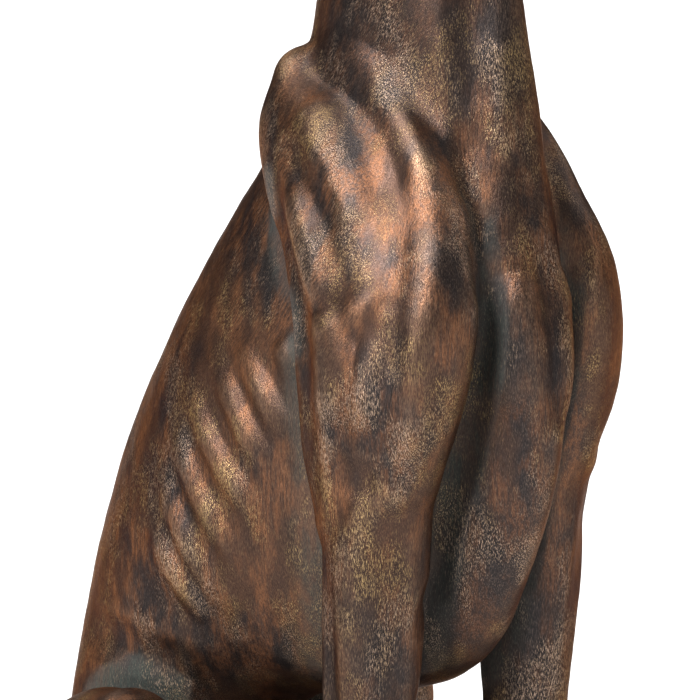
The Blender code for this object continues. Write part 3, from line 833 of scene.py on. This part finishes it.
    strokes: tuple[Stroke, ...] = (
        # The blade: its front edge, the dip beside the neck, the plane behind the edge and its spine
        Stroke(Page.QUARTER, ((-10.0, 69.2), (-7.0, 68.0), (-4.5, 65.2), (-2.7, 62.0), (-1.5, 58.0)), 2.2, 0.42),
        Stroke(Page.QUARTER, ((-4.6, 70.0), (-2.2, 67.0), (-0.4, 63.4), (0.8, 59.6), (1.9, 55.0)), 2.4, -0.18),
        Stroke(Page.QUARTER, ((-9.0, 67.2), (-7.4, 65.2), (-6.0, 62.4), (-5.0, 59.0)), 2.8, 0.2),
        Stroke(Page.QUARTER, ((-10.4, 65.6), (-9.6, 62.8), (-8.4, 59.4), (-7.2, 56.0)), 3.0, 0.42),
        Stroke(Page.QUARTER, ((-12.2, 63.0), (-10.9, 60.6), (-9.6, 58.0), (-8.4, 55.4)), 2.0, -0.36),
        # The arm: behind the blade, the triceps, two cords down its front, the elbow
        Stroke(Page.QUARTER, ((-11.6, 59.4), (-10.8, 56.6), (-10.0, 53.6), (-9.2, 50.6)), 2.6, 0.5),
        Stroke(Page.QUARTER, ((-8.2, 51.0), (-7.4, 48.4), (-7.0, 45.0), (-7.4, 41.6)), 4.4, 0.75),
        Stroke(Page.QUARTER, ((-1.4, 57.0), (-1.8, 52.0), (-2.6, 46.6), (-3.2, 43.1), (-3.8, 39.0)), 2.2, 0.42),
        Stroke(Page.QUARTER, ((-4.6, 50.0), (-4.7, 46.0), (-5.0, 42.6), (-5.6, 39.8)), 2.2, -0.3),
        Stroke(Page.QUARTER, ((-8.9, 39.6), (-7.2, 38.4), (-5.4, 38.4)), 2.0, -0.3),
        Stroke(Page.QUARTER, ((-7.0, 33.6), (-6.2, 35.4), (-5.0, 36.6), (-3.6, 38.2)), 2.0, 0.3),
        Stroke(Page.QUARTER, ((-7.6, 34.8), (-7.2, 31.0), (-7.2, 27.0), (-7.2, 22.0)), 2.4, 0.3),
        Stroke(Page.QUARTER, ((-4.4, 35.0), (-4.2, 31.0), (-4.2, 26.0), (-4.4, 20.0)), 1.7, -0.25),
        # The crease between the arm and the ribs
        Stroke(Page.QUARTER, ((-12.8, 59.1), (-12.0, 54.6), (-10.9, 49.6), (-10.6, 43.5), (-9.9, 36.4)), 2.2, -0.6),
        # The breast: the hollow beside the arm, the muscle in front and the furrow down the middle
        Stroke(Page.QUARTER, ((1.4, 57.0), (2.2, 50.0), (1.2, 42.5), (-0.8, 34.0), (-2.2, 26.3)), 2.2, -0.55),
        Stroke(Page.QUARTER, ((3.6, 53.0), (4.5, 49.5), (4.7, 46.2), (4.0, 42.6)), 3.2, 0.6),
        Stroke(Page.FRONT, ((0.0, 57.0), (0.0, 52.0), (0.0, 47.0), (0.0, 42.0)), 2.2, -0.6),
        # The neck: the windpipe, the long muscle beside it and the hollow behind that
        Stroke(Page.FRONT, ((0.0, 84.0), (0.0, 77.0), (0.0, 70.0), (0.0, 63.0)), 2.4, 0.25),
        Stroke(Page.QUARTER, ((3.0, 84.0), (3.2, 76.0), (3.5, 68.0), (4.0, 60.0)), 2.4, 0.3),
        Stroke(Page.QUARTER, ((1.4, 76.0), (1.2, 70.0), (1.4, 65.0), (2.0, 58.0)), 2.4, -0.45),
        # The thigh: the hollow above it, the dip behind it and the fold over the shank
        Stroke(Page.SIDE, ((-32.0, 23.4), (-28.0, 23.2), (-24.0, 22.6), (-20.0, 22.0)), 2.6, -0.6),
        Stroke(Page.SIDE, ((-26.0, 27.0), (-21.0, 26.4), (-15.0, 25.6)), 3.0, -0.35),
        Stroke(Page.SIDE, ((-33.0, 16.0), (-29.5, 13.0), (-27.5, 9.0)), 2.8, -0.35),
        Stroke(Page.SIDE, ((-31.5, 9.6), (-28.0, 6.8), (-24.0, 5.6)), 1.6, -0.35),
        # The head: the eye socket and its lids, the brow, the cheekbone, the cheek and the muzzle's side
        Stroke(Page.SIDE, ((5.4, 94.6), (6.8, 94.4), (9.0, 93.8)), 2.0, -0.45),
        Stroke(Page.SIDE, ((5.3, 94.6), (6.2, 95.5), (7.4, 95.3), (8.3, 94.2)), 0.6, 0.24),
        Stroke(Page.SIDE, ((5.4, 94.0), (6.5, 93.4), (7.8, 93.5)), 0.55, 0.16),
        Stroke(Page.SIDE, ((1.6, 96.6), (4.2, 97.0), (6.8, 96.5)), 1.3, 0.28),
        Stroke(Page.SIDE, ((2.6, 92.6), (6.0, 92.2), (9.6, 92.0)), 1.3, 0.25),
        Stroke(Page.SIDE, ((0.4, 90.4), (2.2, 89.6), (4.2, 89.2)), 2.4, 0.4),
        Stroke(Page.SIDE, ((9.4, 93.4), (12.6, 92.4), (16.0, 91.8)), 1.3, -0.22),
        # The mouth, and the nose with its nostril
        Stroke(Page.SIDE, ((8.6, 89.0), (11.0, 88.8), (14.0, 88.9), (17.0, 89.1), (20.6, 89.8)), 0.5, -0.28),
        Stroke(Page.SIDE, ((20.0, 90.9), (20.6, 91.2), (21.2, 90.9)), 0.55, -0.4),
        # The ear's fold, and the jaw where the throat begins
        Stroke(Page.SIDE, ((-1.0, 97.6), (-3.4, 96.6), (-6.0, 94.9), (-8.2, 92.8)), 0.9, -0.3),
        Stroke(Page.SIDE, ((-3.0, 88.4), (-0.4, 86.6), (2.2, 86.0)), 1.4, -0.3),
        # The forearm: the groove between its muscles, the wrist and the pad behind it
        Stroke(Page.SIDE, ((-1.0, 34.0), (-0.8, 28.0), (-0.6, 21.0), (-0.4, 15.0)), 1.3, -0.32),
        Stroke(Page.FRONT, ((-8.3, 13.2), (-8.3, 11.6), (-8.3, 10.2)), 2.0, 0.25),
        Stroke(Page.FRONT, ((-8.3, 9.4), (-8.3, 7.6)), 1.5, -0.2),
    )
    melts: tuple[Stroke, ...] = (
        # Where the arm runs up into the blade, beside the neck, and the arm's edge over the ribs
        Stroke(Page.QUARTER, ((-5.4, 70.0), (-3.4, 67.6), (-1.4, 64.4), (-0.2, 60.8)), 2.4, 0.7),
        Stroke(Page.QUARTER, ((-9.6, 68.6), (-7.4, 66.8), (-5.6, 64.0), (-4.7, 60.6), (-4.2, 56.6)), 3.2, 1.0),
        Stroke(Page.QUARTER, ((-12.4, 57.0), (-11.5, 52.0), (-10.7, 46.0), (-10.3, 40.0), (-9.9, 36.0)), 1.8, 0.6),
    )
    green_and_painted_shade: tuple[Stroke, ...] = (
        # Green patina gathered in the crease beside the arm, and green laid behind the elbow as painted shade
        Stroke(Page.QUARTER, ((-13.2, 60.0), (-12.6, 55.0), (-11.4, 50.0), (-11.2, 44.0), (-10.4, 38.0)), 2.3, 0.58),
        Stroke(Page.QUARTER, ((-10.4, 38.0), (-10.0, 33.0), (-9.8, 28.0), (-9.8, 24.5)), 3.4, 0.55),
    )
    ribs: tuple[tuple[tuple[float, float], ...], ...] = (
        ((-12.4, 48.4), (-11.9, 47.0), (-11.2, 45.4)),
        ((-15.4, 48.0), (-14.4, 45.6), (-13.2, 43.2), (-12.0, 41.2)),
        ((-17.2, 46.6), (-16.1, 43.8), (-14.7, 40.9), (-13.2, 38.4)),
        ((-19.2, 44.4), (-18.1, 41.4), (-16.3, 38.0), (-13.8, 34.6)),
        ((-20.6, 41.8), (-19.5, 38.6), (-17.9, 35.2), (-15.7, 31.8)),
        ((-21.6, 38.6), (-20.6, 35.4), (-19.1, 32.0), (-17.1, 28.9)),
        ((-22.4, 35.0), (-21.2, 32.0), (-19.5, 29.2), (-17.9, 27.0)),
    )
    piece: bpy.types.Object | None = field(default=None, init=False)
    pieces: list[bpy.types.Object] = field(default_factory=list, init=False)

    def clay(self) -> Clay:
        """The rough forms of the whole dog."""
        clay = Clay(self.scale)
        clay.add_slices(self.trunk)
        clay.add_slices(self.head)
        limbs = (self.ear, self.foreleg, self.shoulder_blade, self.upper_arm, self.triceps)
        for side in (-1, 1):
            for knots in (*limbs, self.haunch, self.shank, self.hind_foot):
                clay.add_limb(knots, side)
            for out, ahead in (self.forepaw, self.hindpaw):
                for toe in self.toes(out, ahead):
                    clay.add_limb(toe, side)
        clay.add_limb(self.tail, 1, across=(0.0, 0.0, 1.0))
        return clay

    def toes(self, out: float, ahead: float) -> list[tuple[Knot, ...]]:
        """The four arched toes of the paw whose middle is at this place."""
        made = []
        for spread, reach in zip(self.toe_spread, self.toe_ahead):
            knuckle = ahead + reach
            first = Knot(out + spread * 0.8, knuckle - 1.6, 1.5, 0.85, 1.5)
            second = Knot(out + spread, knuckle + 0.2, 1.3, 0.9, 1.6)
            made.append((first, second, Knot(out + spread, knuckle + 1.9, 0.7, 0.75, 1.1)))
        return made

    def eyes(self, skin: Skin) -> bpy.types.Object:
        """Sets both eyeballs into their sockets, as one object.

        Args:
            skin: the skin that they sink into.

        Returns:
            The object with both eyeballs.
        """
        radius = self.eye_radius * self.scale.share
        spot = Stroke(Page.SIDE, (self.eye, (self.eye[0] + 0.1, self.eye[1])), 0.0, 0.0)
        place = skin.on_skin(skin.tree(), spot)[0]
        balls = []
        for side in (1, -1):
            middle = place * MIRRORS[side] - np.array([math.copysign(0.5 * radius, place[0] * side), 0.0, 0.0])
            bpy.ops.object.select_all(action="DESELECT")
            bpy.ops.mesh.primitive_uv_sphere_add(segments=40, ring_count=24, radius=radius, location=middle)
            bpy.ops.object.transform_apply(location=True, rotation=False, scale=False)
            balls.append(bpy.context.object)
        balls[0].select_set(True)
        bpy.ops.object.join()
        both = bpy.context.object
        both.name = both.data.name = "eyes"
        bpy.ops.object.shade_smooth()
        both.data.materials.append(BronzePatina().material("eye bronze"))
        return both

    def claws(self) -> bpy.types.Object:
        """The sixteen short claws, one at the tip of each toe, as one object."""
        clay = Clay(self.scale, ring_points=14)
        for side in (-1, 1):
            for out, ahead in (self.forepaw, self.hindpaw):
                for toe in self.toes(out, ahead):
                    tip = toe[-1]
                    root = Knot(tip.out, tip.ahead + 0.45, 0.90, 0.38, 0.44)
                    middle = Knot(tip.out, tip.ahead + 0.95, 0.74, 0.28, 0.34)
                    clay.add_limb((root, middle, Knot(tip.out, tip.ahead + 1.35, 0.46, 0.12, 0.15)), side)
        made = clay.lump("claws")
        bpy.ops.object.shade_smooth()
        made.data.materials.append(BronzePatina().material("claw bronze"))
        return made

    def softness(self, skin: Skin) -> np.ndarray:
        """How soft the skin is kept: full on the body, little on the head, ears, paws and tail."""
        out, ahead, up = skin.shares().T
        body = between(up, 4.0, 12.0) * (1 - between(up, 84.0, 90.0))
        return 0.25 + 0.75 * body

    def build(self) -> None:
        """Models the casting and keeps what the patina reads."""
        self.piece = self.clay().lump("greyhound_casting")
        skin = Skin(self.piece, self.scale)
        skin.fuse(self.grain)
        skin.soften(self.softness(skin), self.softening)
        skin.melt(self.melts, 70)
        ribs = tuple(Stroke(Page.QUARTER, rib, self.rib_reach, self.rib_lift) for rib in self.ribs)
        skin.stroke(self.strokes)
        skin.stroke(ribs, self.rib_fade)
        skin.knead(0.0006, 0.030)
        crest = skin.crests(8)
        broad = skin.crests(70)
        before = KDTree(len(skin.mesh.vertices))
        for i, place in enumerate(skin.places()):
            before.insert(place, i)
        before.balance()
        skin.thin_out(self.triangles)
        skin.flat_soles()
        skin.keep_inside(self.low, self.high)
        nearest = [before.find(place)[1] for place in skin.places()]
        self.dress(skin, crest[nearest], broad[nearest])
        select_only(self.piece)
        bpy.ops.object.shade_smooth()
        self.pieces = [self.piece, self.eyes(skin), self.claws()]

    def dress(self, skin: Skin, crest: np.ndarray, broad: np.ndarray) -> None:
        """Keeps the numbers that the patina reads, and gives the casting its finish.

        Args:
            skin: the finished skin.
            crest: how far each vertex stands above what is close to it.
            broad: the same for a wider stretch round it.
        """
        shelter = skin.blurred(skin.shelter(12, 0.035), 3)[:, 0]
        out, ahead, up = skin.shares().T
        lean = between(up, 44.0, 50.0) * between(ahead, 6.0, 0.0)
        skin.write("crest", crest / 0.00045)
        skin.write("broad", broad / 0.0025)
        # The hollows hold green patina, and the strokes behind the elbow add painted shade there
        skin.write("hollow", np.maximum(between(shelter, 0.08, 0.42), skin.marked(self.green_and_painted_shade)))
        # Painted shade: marks the front of the neck, the breast and the forelegs, which the patina then turns
        # towards charcoal
        neck = between(up, 62.0, 68.0) * between(ahead, -9.0, -4.0) * (1 - between(up, 84.0, 92.0))
        breast = between(up, 60.0, 50.0) * between(ahead, 0.0, 6.0) * between(out, 6.6, 4.6)
        legs = between(up, 36.0, 30.0) * between(ahead, -8.0, -4.0)
        skin.write("lean", lean)
        skin.write("painted_shade", np.maximum.reduce([neck, 0.6 * breast, 0.75 * legs]))
        self.piece.data.materials.clear()
        self.piece.data.materials.append(BronzePatina().material("aged bronze"))


@dataclass
class Plinth:
    """The low base: a slab with round corners and eased edges."""

    scale: Scale
    low: Vector
    high: Vector
    corner_radius: float = 0.030
    edge_round: float = 0.005
    grain: float = 0.0024
    piece: bpy.types.Object | None = field(default=None, init=False)

    def build(self) -> None:
        """Models the slab and gives it its finish."""
        middle, size = (self.low + self.high) / 2, self.high - self.low
        bpy.ops.object.select_all(action="DESELECT")
        bpy.ops.mesh.primitive_cube_add(size=1.0, location=middle, scale=size)
        self.piece = bpy.context.object
        self.piece.name = self.piece.data.name = "plinth"
        bpy.ops.object.transform_apply(location=True, rotation=True, scale=True)
        weights = self.piece.data.attributes.new("bevel_weight_edge", "FLOAT", "EDGE")
        for edge, weight in zip(self.piece.data.edges, weights.data):
            a, b = (self.piece.data.vertices[i].co for i in edge.vertices)
            weight.value = float(abs(a.z - b.z) > 0.5 * size.z)
        self.round_edges(self.corner_radius, 24, "WEIGHT")
        self.round_edges(self.edge_round, 5, "ANGLE")
        skin = Skin(self.piece, self.scale)
        skin.fuse(self.grain)
        skin.keep_inside(self.low, self.high)
        skin.write("crest", skin.crests(8) / 0.00018)
        skin.write("broad", skin.crests(40) / 0.0012)
        select_only(self.piece)
        bpy.ops.object.shade_smooth()
        self.piece.data.materials.append(BronzePatina().material("bronze plinth"))

    def round_edges(self, radius: float, segments: int, chosen: str) -> None:
        """Rounds some of the slab's edges.

        Args:
            radius: how round the edges become.
            segments: how many faces go round each of them.
            chosen: "WEIGHT" for the four upright edges, "ANGLE" for every sharp one.
        """
        rounding = self.piece.modifiers.new("round edges", "BEVEL")
        rounding.width = radius
        rounding.segments = segments
        rounding.limit_method = chosen
        rounding.angle_limit = math.radians(40)
        apply_modifiers(self.piece)


@dataclass
class Studio:
    """The pale floor, the soft light and the camera."""

    scale: Scale
    azimuth: float = -45.0
    elevation: float = 8.0
    distance: float = 2.6
    pixels_per_share: float = 13.7
    aim_pixel: tuple[float, float] = (450.0, 350.0)
    soft_light: float = 0.15

    def toward(self, azimuth: float, elevation: float) -> Vector:
        """The way from the object to a camera or a light at these angles, in degrees."""
        turn, rise = math.radians(azimuth), math.radians(elevation)
        return Vector((math.sin(turn) * math.cos(rise), -math.cos(turn) * math.cos(rise), math.sin(rise)))

    def camera(self) -> None:
        """Sets the camera at the photograph's angle."""
        data = bpy.data.cameras.new("camera")
        lens = bpy.data.objects.new("camera", data)
        bpy.context.scene.collection.objects.link(lens)
        back = self.toward(self.azimuth, self.elevation)
        right = Vector((math.cos(math.radians(self.azimuth)), math.sin(math.radians(self.azimuth)), 0.0))
        across = (self.aim_pixel[0] - 350.0) / self.pixels_per_share * self.scale.share
        middle = Vector(self.scale.spot(0.0, 0.0, self.scale.page_height)) - right * across
        lens.location = middle + back * self.distance
        lens.rotation_mode = "QUATERNION"
        lens.rotation_quaternion = (-back).to_track_quat("-Z", "Y")
        data.lens = data.sensor_width * self.distance / (700.0 / self.pixels_per_share * self.scale.share)
        data.clip_start = 0.05
        bpy.context.scene.camera = lens

    def floor(self) -> None:
        """Lays a plain pale floor."""
        bpy.ops.object.select_all(action="DESELECT")
        bpy.ops.mesh.primitive_plane_add(size=60.0, location=(0.0, 0.0, 0.0))
        ground = bpy.context.object
        ground.name = "floor"
        sheet = NodeSheet("pale floor")
        sheet.shader.inputs["Base Color"].default_value = (0.86, 0.86, 0.86, 1.0)
        sheet.shader.inputs["Roughness"].default_value = 0.9
        sheet.shader.inputs["Specular IOR Level"].default_value = 0.1
        ground.data.materials.append(sheet.material)

    def sun(self, azimuth: float, elevation: float, power: float, spread: float) -> None:
        """Adds a broad soft light.

        Args:
            azimuth: where it stands round the object, in degrees.
            elevation: how high it stands, in degrees.
            power: its strength.
            spread: how wide it is, in degrees.
        """
        data = bpy.data.lights.new("light", "SUN")
        data.energy = power
        data.angle = math.radians(spread)
        light = bpy.data.objects.new("light", data)
        light.rotation_mode = "QUATERNION"
        light.rotation_quaternion = (-self.toward(azimuth, elevation)).to_track_quat("-Z", "Y")
        bpy.context.scene.collection.objects.link(light)

    def build(self) -> None:
        """Sets up the whole studio."""
        self.camera()
        self.floor()
        self.sun(-84.0, 38.0, 6.4, 18.0)
        self.sun(62.0, 35.0, 1.0, 40.0)
        self.sun(170.0, 45.0, 1.0, 40.0)
        world = bpy.data.worlds.new("studio")
        world.use_nodes = True
        shade = world.node_tree.nodes["Background"]
        shade.inputs["Color"].default_value = (1.0, 1.0, 1.0, 1.0)
        seen = world.node_tree.nodes.new("ShaderNodeLightPath").outputs["Is Camera Ray"]
        strength = world.node_tree.nodes.new("ShaderNodeMapRange")
        strength.inputs["To Min"].default_value = self.soft_light
        world.node_tree.links.new(seen, strength.inputs["Value"])
        world.node_tree.links.new(strength.outputs[0], shade.inputs["Strength"])
        bpy.context.scene.world = world
        bpy.context.scene.view_settings.view_transform = "Standard"


def main() -> None:
    """Builds the statue and its studio, piece by piece."""
    logging.basicConfig(level=logging.INFO, format="%(message)s")
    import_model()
    low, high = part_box("greyhound")
    scale = Scale(share=0.0077, sole_level=low[2])

    Studio(scale).build()
    LOG.info("studio ready")

    dog = Greyhound(scale, Vector(low), Vector(high))
    dog.build()
    for piece in dog.pieces:
        LOG.info("%s: %d faces", piece.name, len(piece.data.polygons))
        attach(piece, "root")
        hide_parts("greyhound")

    plinth = Plinth(scale, *(Vector(corner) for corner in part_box("base")))
    plinth.build()
    LOG.info("%s: %d faces", plinth.piece.name, len(plinth.piece.data.polygons))
    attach(plinth.piece, "root")
    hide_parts("base")


if __name__ == "__main__":
    main()
